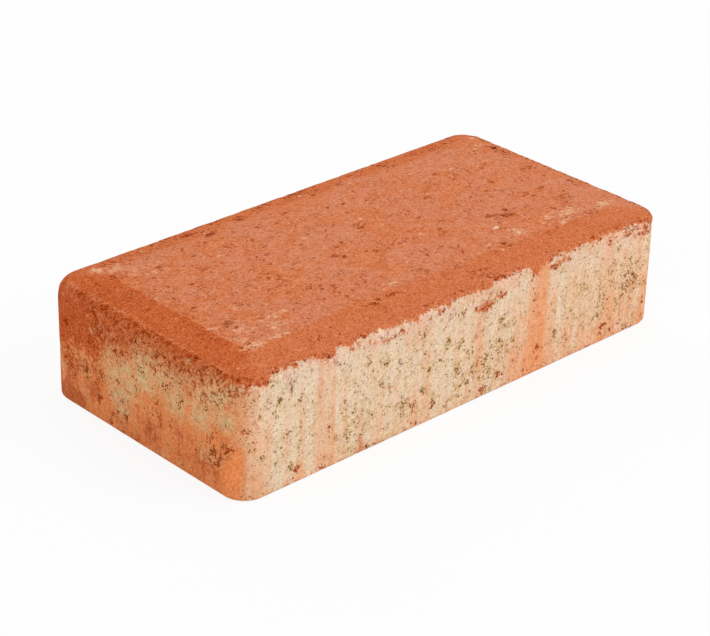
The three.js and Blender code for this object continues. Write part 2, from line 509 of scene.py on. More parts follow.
# %% Clusters of grime
BED_GRIME = 0.8
FRONT_GRIME = [
    (-84, 33.4, 1.8, 1.7, 3.4), (-79, 35.4, 1.6, 4, 2.8), (-96, 33, 3, 2.4, 1.6),
    (-93, 29.8, 2.6, 2, 1.4), (-86.6, 29.4, 2.4, 2.4, 1.2), (-75.8, 31, 2, 2.4, 1.2),
    (-70.6, 27.6, 1.6, 2.6, 2), (-99.4, 20.6, 2, 1.4, 2.4), (-95.6, 18.6, 3.4, 1.4, 2.2),
    (-91.4, 15.6, 2.6, 1.8, 2), (-85, 15.6, 3.8, 1.5, 1.8), (-78.6, 20.8, 2.4, 1.6, 1.4),
    (-86.4, 10.2, 2, 1.6, 1.6), (-79.6, 7, 1.8, 2.6, 2.4), (-76.8, 5, 1.6, 2, 1.8),
    (-72, 13, 4, 5, 0.9), (-59.4, 36.8, 4, 2.2, 0.9), (-54.6, 33.6, 2.4, 2.6, 1),
    (-56.4, 20.4, 3.4, 4, 1.5), (-54.4, 10, 3.4, 2.8, 2.2), (-49.4, 5.4, 2.4, 3.4, 1.6),
    (-45.6, 34, 1.6, 3.4, 2), (-38, 30.6, 3.8, 1.8, 1.9), (-39.8, 23.4, 2, 3, 2.2),
    (-31.4, 28, 1.6, 3.4, 2), (-22.2, 35, 4.4, 2.8, 2), (-25, 31, 1.6, 2, 1.4),
    (-17.6, 20.6, 1.6, 1.6, 3.4), (-14.6, 21.6, 1.8, 1.4, 1.6), (-8.8, 28, 2, 3.6, 1.6),
    (-3, 24, 3, 4, 1.9), (-4, 15.4, 2.6, 3.6, 2.2), (-20.6, 14, 1.5, 1.5, 3.6),
    (-29.4, 11, 4, 6, 1.3), (-15.6, 8, 1.5, 2.4, 2.6), (-25.6, 9.4, 2, 1.6, 3.2),
    (-3, 5.4, 2, 1.8, 3.2), (0.6, 9.2, 3.4, 2, 2.2), (2.4, 12.4, 1.5, 1.8, 2),
    (6.6, 11.8, 1.8, 2.6, 1.8), (3.2, 23, 1.6, 3.4, 1.6), (13, 14.2, 2.6, 1.6, 2.6),
    (16.6, 28, 2, 2, 1.6), (17.4, 19.4, 2.6, 3.8, 1.4), (21, 14, 2, 2, 1.6),
    (26.2, 12.2, 1.4, 3.4, 3.2), (28.4, 19.4, 3.8, 2, 1.2), (9.4, 30.4, 3, 1.4, 1.4),
    (33, 31, 1.4, 2.2, 1.8), (40.4, 21.4, 1.8, 1.6, 3.4), (45, 13, 1.6, 3.2, 3),
    (39.6, 12.6, 2, 1.4, 1.6), (47.6, 8, 1.6, 3.4, 1.4), (51, 19.4, 2.6, 2.6, 1.2),
    (60, 25.4, 5, 2.4, 1.4), (57, 28, 3, 3.4, 1.2), (77, 36.2, 1.6, 1.4, 3.6),
    (81, 21.2, 3.8, 1.4, 2), (83.2, 24, 1.5, 1.3, 3.2), (83.6, 18.2, 3, 1.6, 1.7),
    (67.4, 13, 1.6, 1.3, 3.4), (62.4, 13.6, 1.5, 1.3, 2), (71, 17.4, 1.8, 1.8, 1.6),
    (93, 17.6, 1.4, 2, 3.2), (87, 27, 3.4, 3, 1.2), (68.4, 7, 2.2, 2, 1.4), (12, 14, 20, 20, 0.9),
    (-96, 34, 7, 9, 0.5), (76, 22, 26, 20, 0.7), (-52, 14, 9, 14, 0.7), (85, 20, 11, 9, 2.4),
    (13, 37, 8, 5, 1),
]
LEFT_GRIME = [
    (-37, 13.8, 11, 5.4, 2.2), (-30.8, 11.6, 5.6, 4, 2.7), (-34.6, 16.6, 4, 5, 2.3),
    (-36, 10, 7, 5, 2.1), (-43, 18.4, 7.6, 4.6, 2.6), (-35.4, 20.4, 4.8, 2.8, 2.7),
    (-37.4, 24, 1.8, 3.2, 1.9), (-50, 20.6, 2.8, 1.7, 3), (-48, 26, 2.2, 5, 1.8),
    (-50, 36, 3, 3, 1.8), (-46, 39, 5, 3, 1.7), (-12, 27.6, 3.4, 2.8, 2.2),
    (-20, 25.4, 2.2, 4.4, 1.7), (0, 28.4, 3.4, 2.6, 2.2), (-6.6, 24.6, 3, 1.8, 1.6),
    (12, 26.8, 3.6, 2.2, 2), (8.8, 13.4, 3.2, 2.8, 2.4), (11.4, 21, 2.8, 2.8, 1.5),
    (2, 21.4, 3.6, 1.5, 2), (21, 18.4, 2.4, 3.6, 2.8), (30.6, 16.6, 4.4, 2.8, 2.2),
    (29.4, 14, 2, 1.3, 2.8), (38, 15, 5, 3, 1.8), (24, 11, 2.4, 3.8, 1.8), (9.6, 8, 4.4, 1.3, 2.6),
    (15, 6.4, 1.6, 1.6, 2.6), (-7.4, 19.6, 2, 3.2, 1.9), (-6, 15, 2.6, 1.4, 1.9),
    (-15.4, 17, 2.2, 2.4, 1.5), (-20.6, 3.2, 1.6, 1.2, 2.6), (17.6, 2.6, 2.4, 2, 1.8),
    (-30, 30.6, 4, 4, 0.9), (-35, 34, 3, 4, 1.2),
]

noise_grime = 0.15 + 2.2 * np.clip(rough_noise(smooth, 5, 31), 0, 1)
front_grime = 0.15 + spots(x, z, FRONT_GRIME)
left_grime = 0.1 + spots(y, z, LEFT_GRIME)
grime = along_sides(front_grime, left_grime, noise_grime, noise_grime)
grime = grime * (1 - 0.5 * drag * (1 - toward_left)) + 0.2 * rough_noise(smooth, 9, 30) - corner_rub
grime = grime + (BED_GRIME - grime) * under
print(f"grime: {grime.mean():.2f} on average, {grime.max():.1f} in the thickest cluster")

# %% [markdown]
# ## A film of cement on the wearing face
#
# The stone is pressed face up, and a thin film of cement stays on its flat top and dulls
# the red to pink. It ends in a wavy edge where the front band starts, stops at the left
# band and thins out towards the far one. About half of it reaches over the front and the
# far band, and all of it over the right one, but the left band keeps its full red. Over
# the bands the film is partly painted sheen.

# %% The film's edges
FILM_FRONT_EDGE = [
    (-100, -36), (-75, -35.4), (-60, -34.8), (-45, -33.6), (-20, -34.2), (0, -35.2), (25, -34.8),
    (40, -36.2), (60, -37), (75, -37.2), (100, -37),
]
FILM_LEFT_EDGE = (-85.4, -84)
FILM_LEFT_FADE = (-86, -74)
FILM_FAR_FADE = (38, 45)
BAND_FILM_AND_SHEEN = (0.62, 0.0, 0.50, 1.0)

wobble = 1.3 * rough_noise(smooth, 6, 40)
film_edge = line_height(FILM_FRONT_EDGE, x) + wobble
film = rise(y, film_edge - 1.4, film_edge + 2.2)
sharp_end = rise(x + 0.5 * wobble, *FILM_LEFT_EDGE)
soft_end = rise(x + 3 * wobble, *FILM_LEFT_FADE)
film = film * (0.7 * sharp_end + 0.3 * soft_end)
film = film * (1 - 0.65 * rise(y + 3.5 * wobble, *FILM_FAR_FADE))
# Over the bands the film is partly painted sheen; the left band gets none.
band_film_and_sheen = along_sides(*BAND_FILM_AND_SHEEN) * rise(x, -97, -86)
film = np.maximum(film, band_film_and_sheen) * np.maximum(on_top, toward_front * upper_half)
print(f"film on {(film > 0.5).mean():.0%} of the points")

# %% [markdown]
# ## Pits
#
# Grains have broken out of the wearing face and left pits. The larger ones are marks here,
# so that they get real depth, and the fine ones are left to noise and to the material.

# %% Pits in the wearing face
TOP_PITS = [
    (-17, -2, 2.8, 2, 1), (-41.5, -1.2, 1.8, 1.7, 0.8), (-78.5, -0.8, 1.8, 1.3, 0.7),
    (-94.5, -1.2, 1.5, 1.3, 0.6), (-95.5, -4.5, 1.3, 1.3, 0.6), (-76.5, -16, 3, 2.4, 0.8),
    (-76.2, -19.6, 1.4, 1.4, 1), (-37.5, -17.8, 1.4, 1.4, 0.9), (-35.8, -15.6, 1.5, 1.5, 0.8),
    (-32.5, -17.9, 1.8, 1.3, 1), (-43, -21.5, 1.4, 1.2, 0.7), (-41.5, -23.5, 1.3, 1.2, 0.6),
    (-34.5, -23, 1.4, 1.2, 0.6), (-30, -25, 1.3, 1.4, 0.7), (-35, -27.5, 1.6, 1.2, 0.8),
    (-34, -31.5, 2.2, 1.4, 0.6), (-23, -35.5, 4.2, 1.4, 0.7), (-32, -36, 2.4, 1.8, 0.7),
    (-6, -6.2, 1.6, 1.5, 0.7), (-3, -8.8, 1.4, 1.3, 0.7), (-15, -5, 2, 1.6, 0.5),
    (-26, -10.2, 1.4, 1.2, 0.6), (-48, -12.5, 3.4, 1.8, 0.5), (-37, -5.5, 2.2, 1.4, 0.5),
    (-18, -46.5, 3, 1.8, 0.6), (-66.5, -21, 1.5, 1.3, 0.6), (-55, -23, 1.6, 1.2, 0.6),
    (-89, -16, 4, 2, 0.6), (-53.5, -43.8, 1.3, 1.2, 0.6), (53, -17.8, 4.2, 1.9, 1),
    (47.5, -13.7, 3, 1.8, 1), (55.3, -13.5, 1.6, 1.8, 1), (50.5, -15.5, 7, 4.4, 0.5),
    (93.8, -9.8, 2.2, 1.3, 1), (7.8, -21.8, 1.5, 1.2, 1), (20.5, -24.5, 1.5, 1.5, 0.7),
    (12, -22.5, 1.4, 1.2, 0.6), (18.3, -28.8, 1.2, 1.6, 0.7), (7.5, -9.2, 2, 1.4, 0.7),
    (11.3, -8.3, 1.5, 1.2, 0.7), (1.7, -9.8, 1.4, 1.2, 0.7), (21.3, -6, 1.4, 1.3, 0.7),
    (25.5, -10, 1.6, 2, 0.7), (19.5, -12, 1.4, 1.2, 0.6), (79.5, -8.8, 3.8, 2, 0.7),
    (72, -12.2, 2.6, 2, 0.6), (79.5, -18.8, 3, 1.4, 0.6), (54, -3, 3, 1.8, 0.5),
    (60, -3, 3, 1.6, 0.5), (58.8, -15, 1.8, 1.3, 0.6), (69.5, -24, 1.6, 2.2, 0.7),
    (8.8, -34.8, 2.6, 1.7, 0.8), (35, -32.4, 2.6, 1.3, 0.8), (35, -35, 2, 1.3, 0.8),
    (54, -24, 1.4, 1.2, 0.6), (16.5, -41.5, 1.8, 1.5, 0.7), (10.5, -41.5, 2, 1.2, 0.5),
    (9, -47.5, 1.4, 1.2, 0.7), (15.5, -47, 1.4, 1.2, 0.6), (62.5, -45, 1.3, 1.2, 0.6),
    (-68.5, 30, 2.6, 1.4, 1), (-53.7, 29.2, 1.4, 1.2, 1), (-34, 13.8, 2.2, 1.4, 0.9),
    (-33, 17, 2.2, 1.6, 0.5), (-84, 33.8, 2, 1.3, 0.7), (-75.5, 40.5, 1.5, 1.5, 0.7),
    (-71.5, 41, 1.7, 1.2, 0.7), (-38.8, 38.8, 3.4, 2.4, 0.8), (-43, 44.6, 5, 1.6, 0.8),
    (-22, 42.2, 2.6, 2, 0.8), (-47, 44.3, 2.8, 1.3, 0.7), (-77.5, 13.2, 1.4, 1.2, 0.6),
    (-68, 13, 2.2, 1.6, 0.6), (-57, 15.5, 1.5, 1.2, 0.6), (-74, 25, 1.3, 1.5, 0.6),
    (-59.5, 23, 1.3, 1.2, 0.6), (-38, 8, 1.7, 1.3, 0.7), (-44.5, 0.5, 1.7, 1.2, 0.6),
    (-55.5, 2.5, 1.5, 1.2, 0.5), (-90, 8.5, 3, 1.5, 0.6), (-88, 20, 2.2, 3, 0.4),
    (-20, 11.5, 1.7, 1.3, 0.5), (-30.5, 25.5, 2.2, 1.6, 0.5), (-20.5, 27, 2.4, 1.5, 0.5),
    (-15.5, 36.5, 1.8, 1.4, 0.5), (40.5, 12, 2.6, 1.2, 0.9), (5.2, 9, 3.2, 1.3, 0.9),
    (3.5, 4.2, 1.4, 1.2, 0.6), (14, 27, 2.2, 1.3, 0.7), (7.5, 28.2, 1.3, 1.2, 0.6),
    (22.5, 24.3, 1.7, 1.2, 0.6), (10, 21, 1.3, 1.2, 0.6), (29.5, 19.5, 1.3, 1.3, 0.6),
    (34.3, 25.5, 1.2, 1.2, 0.6), (40, 31, 1.3, 1.2, 0.6), (43.3, 27, 1.3, 1.2, 0.6),
    (51.5, 32, 1.4, 1.3, 0.6), (57.5, 24.5, 3.2, 2, 0.5), (47, 17, 1.7, 1.2, 0.7),
    (60, 16.8, 1.6, 1.2, 0.8), (75.5, 17.2, 1.7, 1.2, 0.7), (26.5, 1.5, 2.4, 1.4, 0.7),
    (54, 2, 2, 1.3, 0.7), (62, 1.8, 2, 1.3, 0.7), (69.5, 6.5, 2.4, 2.6, 0.7),
    (25, 42, 1.8, 1.4, 0.7), (37.5, 40.5, 2.6, 1.6, 0.5), (49, 43.5, 1.8, 1.2, 0.6),
    (11.5, 40.5, 1.8, 1.2, 0.6), (60.5, 40, 1.7, 1.2, 0.6), (94, 30, 1.8, 3.6, 0.7),
    (24.3, 32.2, 1.3, 1.2, 0.6),
]

top_pits = spots(x, y, TOP_PITS) * on_top
print(len(TOP_PITS), "pits on the top")

# %% [markdown]
# ## Scuffs and pale grains
#
# Stacking and handling have scuffed the corners of the flat white, and a few chipped
# grains of sand show pale. Neither has a depth that a finger could feel, so both are only
# marks for the colour.

# %% Scuffs and chipped grains
TOP_SCUFFS = [
    (-81, -33.5, 7, 3.4, 1), (-71, -33.2, 10, 1.6, 0.75), (-63, -21.4, 14, 1.4, 0.6),
    (-62, -22.3, 2, 1.6, 1), (-83, -16.5, 2.4, 2.2, 0.7), (-82.5, -26, 3, 3.4, 0.7),
    (-77.5, -22, 3.6, 3.4, 0.6), (-80, -29.5, 4, 2.6, 0.6), (-73, -25.5, 3.6, 2.6, 0.5),
    (-68.5, -9.5, 2.6, 3.4, 0.5), (-66, -27, 10, 5, 0.4), (-11, -26.5, 2, 1.5, 0.6),
    (-15, -30, 16, 2.6, 0.35), (18, -9.2, 2.6, 1.5, 0.6), (44.8, -29.2, 4, 4.2, 0.8),
    (70.5, -30, 7, 5.6, 0.9), (63.8, -34.6, 3.4, 1.7, 1), (62.5, -27.8, 4, 2.6, 0.7),
    (58, -30.5, 7, 3.4, 0.4), (86, -32.8, 6, 4, 0.85), (91, -33, 3.4, 2.4, 0.6),
    (95, -23.5, 1.8, 2, 0.6), (9, -34.6, 7, 1.4, 0.5), (22.5, -33, 1.8, 1.3, 0.5),
    (31, -35.8, 2.2, 1.4, 0.6), (30, -30.5, 3.4, 1.8, 0.5), (40, -18.5, 1.6, 2.2, 0.5),
    (-84.5, 42, 4, 4.4, 1), (-80.5, 38.5, 5, 4, 0.9), (-77, 33.5, 6, 4.6, 0.5),
    (-71.5, 28, 7, 2.4, 0.5), (-67.5, 27, 3, 1.6, 0.5), (-48, 23, 2.6, 1.2, 0.6),
    (-15.5, 4.5, 2.4, 1.4, 0.6), (-77, 41.5, 4, 2.6, 0.5), (-66, 44.3, 4.4, 1.4, 0.5),
    (9.8, 14, 2.2, 1.5, 0.7), (61.5, 19.8, 1.9, 1.3, 0.6), (68.5, 29, 2.4, 1.8, 0.5),
    (91, 34, 3.4, 2, 0.7), (86.5, 31, 2.6, 1.6, 0.5), (28, 39, 1.8, 2.2, 0.6),
    (60, 39, 1.6, 1.4, 0.5), (78, 21, 7, 4, 0.3), (94.5, 41.5, 2, 3, 0.7),
]
TOP_CHIPS = [
    (41.8, -22.3, 2.5, 1.6, 1), (-1.5, -21.5, 1.2, 1.1, 0.7), (-44, -28, 1.3, 1.1, 0.7),
    (-93, -40.3, 1.5, 1.4, 0.6), (-89, 26, 1.5, 1.1, 0.7), (-84, 12, 3.2, 3.4, 0.45),
    (-84.5, 27.2, 1.2, 1.1, 0.6), (-15.5, 15, 1.4, 1.2, 0.7), (7.7, 43.5, 1.5, 1.5, 0.9),
    (12.3, 5, 1.8, 1.3, 0.6), (28.3, 4, 1.4, 1.1, 0.5), (22.8, 31, 1.6, 1.2, 0.6),
    (50.7, 31, 1.4, 1.2, 0.5), (66, 24.2, 2.4, 1.8, 0.6), (-40.3, -49, 1.6, 1.3, 0.9),
    (-76, -20.8, 1.2, 1.2, 0.7), (87.5, 11, 1.3, 1.2, 0.5), (55, -43.3, 1.3, 1.1, 0.4),
    (32, 42.5, 2, 1.3, 0.5), (29.5, 39.5, 1.3, 2.2, 0.5), (15.5, 43, 1.8, 1.3, 0.4),
    (60.5, 42.5, 1.5, 1.3, 0.4), (-47, 42.5, 1.6, 1.3, 0.4), (-36.5, 41.5, 1.5, 1.3, 0.4),
    (3, 43.5, 1.4, 1.3, 0.4), (-28, 42, 1.3, 1.3, 0.35), (55, 44, 1.6, 1.3, 0.35),
]

scuff = spots(x, y, TOP_SCUFFS) ** 0.8 * on_top
chip = spots(x, y, TOP_CHIPS) * rise(normal[:, 2], 0.1, 0.4)
print(len(TOP_SCUFFS), "scuffs and", len(TOP_CHIPS), "pale grains")

# %% [markdown]
# ## Where the surface crumbles
#
# Where the face mix tore, it broke into crumbs, and round the scabs, low on the walls and
# on worn spots of the band it did so too. On the front, the left side and the top the
# places are marks.

# %% Crumbly places
FRONT_CRUMBS = [
    (-97, 44.5, 7, 2.8, 1), (-90.5, 42.4, 3.6, 2.6, 1), (-78, 44, 3, 1.6, 0.8),
    (-65, 42.6, 5, 2.4, 0.8), (-52.6, 41.6, 2.4, 3.6, 0.9), (-44, 40.2, 8, 2.2, 0.7),
    (-37.5, 38.8, 4.8, 2.4, 1), (-30.4, 39.4, 2.8, 2.2, 0.8), (-27, 43.6, 8, 1.6, 0.7),
    (-17, 40, 3, 2, 0.5), (-13.2, 40.8, 3, 2.8, 0.9), (-9, 42.5, 2.2, 2.2, 0.9),
    (-7, 36.8, 3.6, 2.6, 0.6), (-2.2, 37.4, 3.4, 2.6, 0.7), (8.5, 35.6, 5, 3, 1.1),
    (17, 37.2, 3.6, 1.8, 0.8), (23, 38.6, 3.4, 2.2, 0.7), (32, 40, 2, 4.4, 0.9),
    (43.5, 40.2, 4.4, 2.2, 0.7), (49.6, 40.6, 3.6, 2, 0.8), (61.5, 40.4, 3.4, 2, 0.7),
    (65.5, 39, 3, 2, 0.6), (74, 40.4, 5, 2.6, 1.1), (80.5, 41.2, 4, 3, 1.2),
    (86.5, 41, 5, 4.2, 1.2), (92, 39.6, 5.6, 6.4, 1.3), (-96.5, 25.5, 2.6, 2.6, 0.9),
    (-77, 4.5, 3, 4.6, 0.7), (-65, 3, 6, 3.4, 0.6), (-62.6, 15.5, 1.6, 6, 0.8),
    (-46, 1.5, 8, 2, 0.6), (-24.6, 8.4, 2.4, 2.6, 0.8), (-15.6, 6.6, 2, 3.4, 0.7),
    (-25, 2, 5, 2.4, 0.5), (16.6, 6.4, 3.8, 2.6, 0.9), (9, 3, 6, 4, 0.35),
    (30.8, 3.2, 2.6, 2.6, 1), (36.2, 10, 2.6, 2.8, 1), (36, 4, 3.4, 4, 0.6),
    (50.4, 9.4, 2.2, 4.6, 0.9), (71.6, 6.6, 4, 4.8, 0.8), (75, 3.6, 2.6, 3.6, 0.8),
    (80.4, 6, 3.2, 2.2, 0.7), (92.2, 3.6, 3.2, 3, 1), (92, 11, 2.6, 5, 0.7), (60, 1, 9, 1.6, 0.6),
    (84, 1.4, 6, 1.8, 0.8), (94.4, 17, 1.6, 5, 0.7), (85, 8, 9, 6, 0.4), (72, 8, 9, 8, 0.4),
    (13, 38.5, 9, 3.5, 0.5),
]
LEFT_CRUMBS = [
    (38, 17, 8, 6, 0.9), (31, 17, 6, 6, 0.8), (23, 17, 4, 6, 0.9), (25, 29, 4, 3.4, 0.8),
    (22, 34.6, 4.4, 3, 0.9), (40, 31, 4, 2.6, 0.5), (11.5, 30.8, 4.4, 4, 1), (23, 10, 3.2, 5, 0.8),
    (35, 11, 5, 3, 0.4), (9.5, 8, 5.4, 1.8, 1), (15, 6.4, 2.2, 2.2, 0.8), (17.5, 2.6, 3, 2.8, 0.8),
    (-4.5, 7.6, 4.4, 4, 0.8), (-7, 18.6, 3.4, 5.4, 0.6), (-37, 14, 7, 5, 0.9),
    (-43.5, 19, 5, 3, 0.95), (-34.5, 21, 3.4, 2, 0.7), (-16, 16, 4, 4, 0.5), (-20, 6, 3, 5, 0.3),
    (-37.6, 24, 2.4, 3.4, 0.6), (9, 3, 6, 3, 0.2), (-34, 40, 12, 4, 0.7), (-47, 42, 7, 3.4, 0.5),
]
TOP_CRUMBS = [
    (-78, 44.4, 9, 3, 0.8), (-57, 45, 6, 2.6, 0.9), (-46.5, 44.6, 5, 3, 1),
    (-38, 41.5, 5.4, 4.4, 0.9), (-30, 45.6, 5, 2.4, 0.8), (-21.5, 43, 3.6, 3.6, 1),
    (-9, 45.8, 7, 2.2, 0.7), (6, 45.6, 7, 2.2, 0.7), (25, 42, 4.4, 3.4, 0.7),
    (36, 44.6, 7, 3, 0.8), (50, 44.4, 5, 2.4, 0.8), (-68, 44.4, 5, 2.2, 0.8),
    (16, 44.6, 6, 2.2, 0.7), (66, 44.6, 9, 2.2, 0.7), (84, 43.6, 7, 2.4, 0.6),
    (93.6, 29, 3.4, 8, 0.9), (94.6, -10, 2.4, 3.4, 1), (-84, 34.2, 3.4, 2.2, 0.9),
    (92, 8, 3, 7, 0.5), (-81, -32, 6, 4, 0.6), (-77, -17.6, 4, 4, 0.9), (34, -33.6, 4, 3, 0.9),
    (-30, -36, 9, 2.6, 0.7), (52, -16, 8, 4.6, 0.7), (14, -44, 6, 5, 0.5),
]

front_crumbs = spots(x, climb, FRONT_CRUMBS)
top_crumbs = on_top * spots(x, y, TOP_CRUMBS)
print(len(FRONT_CRUMBS) + len(LEFT_CRUMBS) + len(TOP_CRUMBS), "crumbly places")

# %% [markdown]
# ## Crumbs along the line and the arris
#
# The rest follows the shape. Noise breaks up a strip along the torn line, which is all
# that the back has. The upper part of the short sides crumbled as well, and so did their
# arris, with breaks in it.

# %% Spread the crumbs
ARRIS_CLIMB = 44.7

clusters = np.clip(0.3 + 1.3 * rough_noise(smooth, 7, 12), 0, 1)
torn = rise(np.abs(above_line - 1.0), 2.6, 1.2) * np.clip(0.3 + clusters, 0, 1)
arris_breaks = np.clip(0.8 + 1.0 * rough_noise(smooth, 6, 11), 0, 1)
arris_line = rise(np.abs(climb - ARRIS_CLIMB), 2.0, 0.6) * arris_breaks
left_crumbs = 0.5 * rise(climb, 27, 35) * (1 - 0.4 * rise(climb, 41, 44)) * rise(y, 32, 22)
left_crumbs = left_crumbs * rise(y, -52, -38) + spots(y, climb, LEFT_CRUMBS)
right_crumbs = 0.6 * rise(climb, 34, 41) + 0.6 * clusters * (above_line > -6)
crumbly = along_sides(
    np.maximum(0.4 * torn, front_crumbs),
    np.maximum(left_crumbs, arris_line),
    0.8 * torn,
    np.maximum(right_crumbs, arris_line),
)
crumbly = crumbly * rise(climb, 47.0, 45.6) * (1 - under) + top_crumbs
crumbly = np.clip(crumbly, 0, 1)
print(f"crumbly: {(crumbly > 0.5).mean():.0%} of the points")

# %% [markdown]
# ## Relief
#
# The mould's walls are flat, so the stone's sides are nearly flat too. What breaks them is
# missing material: waves and ribs left by the mould, pores between the grains, crumbs, a
# small step down from the face mix to the base mix, pits, and one worn corner. So relief is a
# depth, cut inwards from the smooth block, and the block never grows past its mould. The
# depths are tenths of a millimetre: deeper ones would look like a broken rock.

# %% Depths, in millimetres
LEAST_CUT = 0.02
RIB_DEPTH = 0.03
PORE_DEPTH = 0.4
STEP_DEPTH = 0.12
CRUMB_DEPTH = 0.35
FINE_PIT_DEPTH = 0.16
PIT_DEPTH = 0.55
BED_PORE_DEPTH = 0.6
WEAR_DEPTH = 0.7
WORN_CORNER = np.array([-98, 48, 44])
WORN_REACH = np.array([9, 9, 7])

waviness = 0.05 + 0.03 * rough_noise(smooth, 34, 1) + 0.02 * rough_noise(smooth, 9, 2)
bed_waviness = 0.15 + 0.15 * rough_noise(smooth, 7, 14)
drag_ribs = soft_noise(smooth / [2.2, 2.2, 30], 1, 7)
pores = rise(rough_noise(smooth, 3.0, 3, 2), 0.22, 0.62)
open_pores = pores * np.clip(grime, 0, 1.6) * (1 - 0.7 * drag)
fine_pits = rise(rough_noise(smooth, 2.6, 5, 2), 0.34, 0.72) * flat_top
pit_floor = 0.7 + 0.5 * rough_noise(smooth, 1.8, 9, 1)
crumbs = np.clip(0.40 + 0.85 * rough_noise(smooth, 2.2, 8, 2), 0, None)
step_down = (1 - rise(above_line, -0.7, 0.5)) * rise(above_line, -10, -1)
corner_wear = rise(np.linalg.norm((smooth - WORN_CORNER) / WORN_REACH, axis=1), 1.0, 0.2)

cut = waviness + CRUMB_DEPTH * crumbly * crumbs
cut = cut + on_wall * (RIB_DEPTH * drag_ribs + PORE_DEPTH * open_pores + STEP_DEPTH * step_down)
cut = cut + FINE_PIT_DEPTH * fine_pits + PIT_DEPTH * rise(top_pits, 0.1, 0.7) * pit_floor
cut = cut + under * (bed_waviness + BED_PORE_DEPTH * pores) + WEAR_DEPTH * corner_wear
# The hollow share darkens the red in the material: partly the pits' own red, partly painted shade
# in them.
hollow = np.clip(1.5 * top_pits + 0.35 * fine_pits + 0.7 * under * pores, 0, 1)

carved = smooth - normal * np.clip(cut, LEAST_CUT, None)[:, None]
mesh.vertices.foreach_set("co", (carved * MM).astype(np.float32).ravel())
mesh.update()
print(f"cut: {cut.mean():.2f} mm on average, {cut.max():.2f} mm at the deepest")

# %% [markdown]
# ## Hand the patterns to the material
#
# What was worked out for the points has to reach the shader. An image could carry it, but
# the points themselves can: an attribute is one number for each point, which the material
# reads by its name. The fine grain, far smaller than the grid, is left to the shader. Two
# more patterns are worked out here: the left arris gets a pale rim, partly wear and partly a
# painted highlight, and most of the crumbly line along it is dark, partly dark crumbs and
# partly painted shade where the round turns from the light.

# %% Store the attributes
# Painted highlight and wear: a pale rim along the left arris, where its edge catches the light.
rim = toward_left * rise(np.abs(inset - ARRIS_INSET - 0.4), 1.1, 0.2) * upper_half
# Painted shade and crumbs: a dark line along the left arris round, where it turns from the light.
undercut = toward_left * arris_line * rise(y, 42, 34)
point_patterns = {
    "above_line": above_line,
    "tear_reach": tear_reach,
    "tear_blur": tear_blur,
    "drag": drag,
    "rust": rust,
    "corner_rub": corner_rub,
    "grime": grime,
    "hollow": hollow,
    "crumbly": crumbly,
    "film": film,
    "scuff": scuff,
    "chip": chip,
    "rim": rim,
    "undercut": undercut,
    "toward_left": toward_left * (1 - under),
    "under": under,
}
for name, values in point_patterns.items():
    layer = mesh.attributes.new(name, "FLOAT", "POINT")
    layer.data.foreach_set("value", values.astype(np.float32))
    print(f"{name:12s} {values.min():6.2f} to {values.max():5.2f}")

# %% [markdown]
# ## A flat pattern of the six sides
#
# A texture painter would want the stone's skin laid out flat. Blender can unwrap it, but
# the grid already knows its six sides, so each one is laid down at the same scale on one
# sheet, like the flaps of an opened carton, with gaps between them.

# %% Lay the sides out on one sheet
SHEET_GAP = 5.0
SHEET_SIZE = LENGTH + 2 * HEIGHT + 3 * SHEET_GAP
sheet_places = {
    (2, 1): (0, 0),
    (2, 0): (0, WIDTH + SHEET_GAP),
    (0, 1): (0, 2 * (WIDTH + SHEET_GAP)),
    (0, 0): (WIDTH + SHEET_GAP, 2 * (WIDTH + SHEET_GAP)),
    (1, 1): (LENGTH + SHEET_GAP, 0),
    (1, 0): (LENGTH + HEIGHT + 2 * SHEET_GAP, 0),
}


def laid_flat(axis, far, corners):
    """Sheet coordinates of one side's corners, from their place on the sharp block."""
    across, along = (axis + 1) % 3, (axis + 2) % 3
    place = corners / STEPS * BLOCK_SIZE
    over = place[..., across] if far else BLOCK_SIZE[across] - place[..., across]
    flat = np.stack([over, place[..., along]], axis=-1)
    return (flat + sheet_places[axis, far] + SHEET_GAP / 2) / SHEET_SIZE


sheet = [laid_flat(axis, far, corners) for (axis, far), corners in zip(SIDES, side_faces)]
sheet = np.concatenate([part.reshape(-1, 2) for part in sheet])
uv_layer = mesh.uv_layers.new(name="OFBake")
uv_layer.uv.foreach_set("vector", sheet.astype(np.float32).ravel())
print("sheet:", sheet.min(axis=0).round(3), "to", sheet.max(axis=0).round(3))

# %% [markdown]
# ## Shader maths in Python
#
# A material is a graph of nodes. Wiring it by hand is slow to read, so a small class wraps
# a socket: adding, taking away, multiplying and dividing wrapped sockets adds the Math
# nodes. The rest of the material then reads as formulas.

# %% A wire that does arithmetic


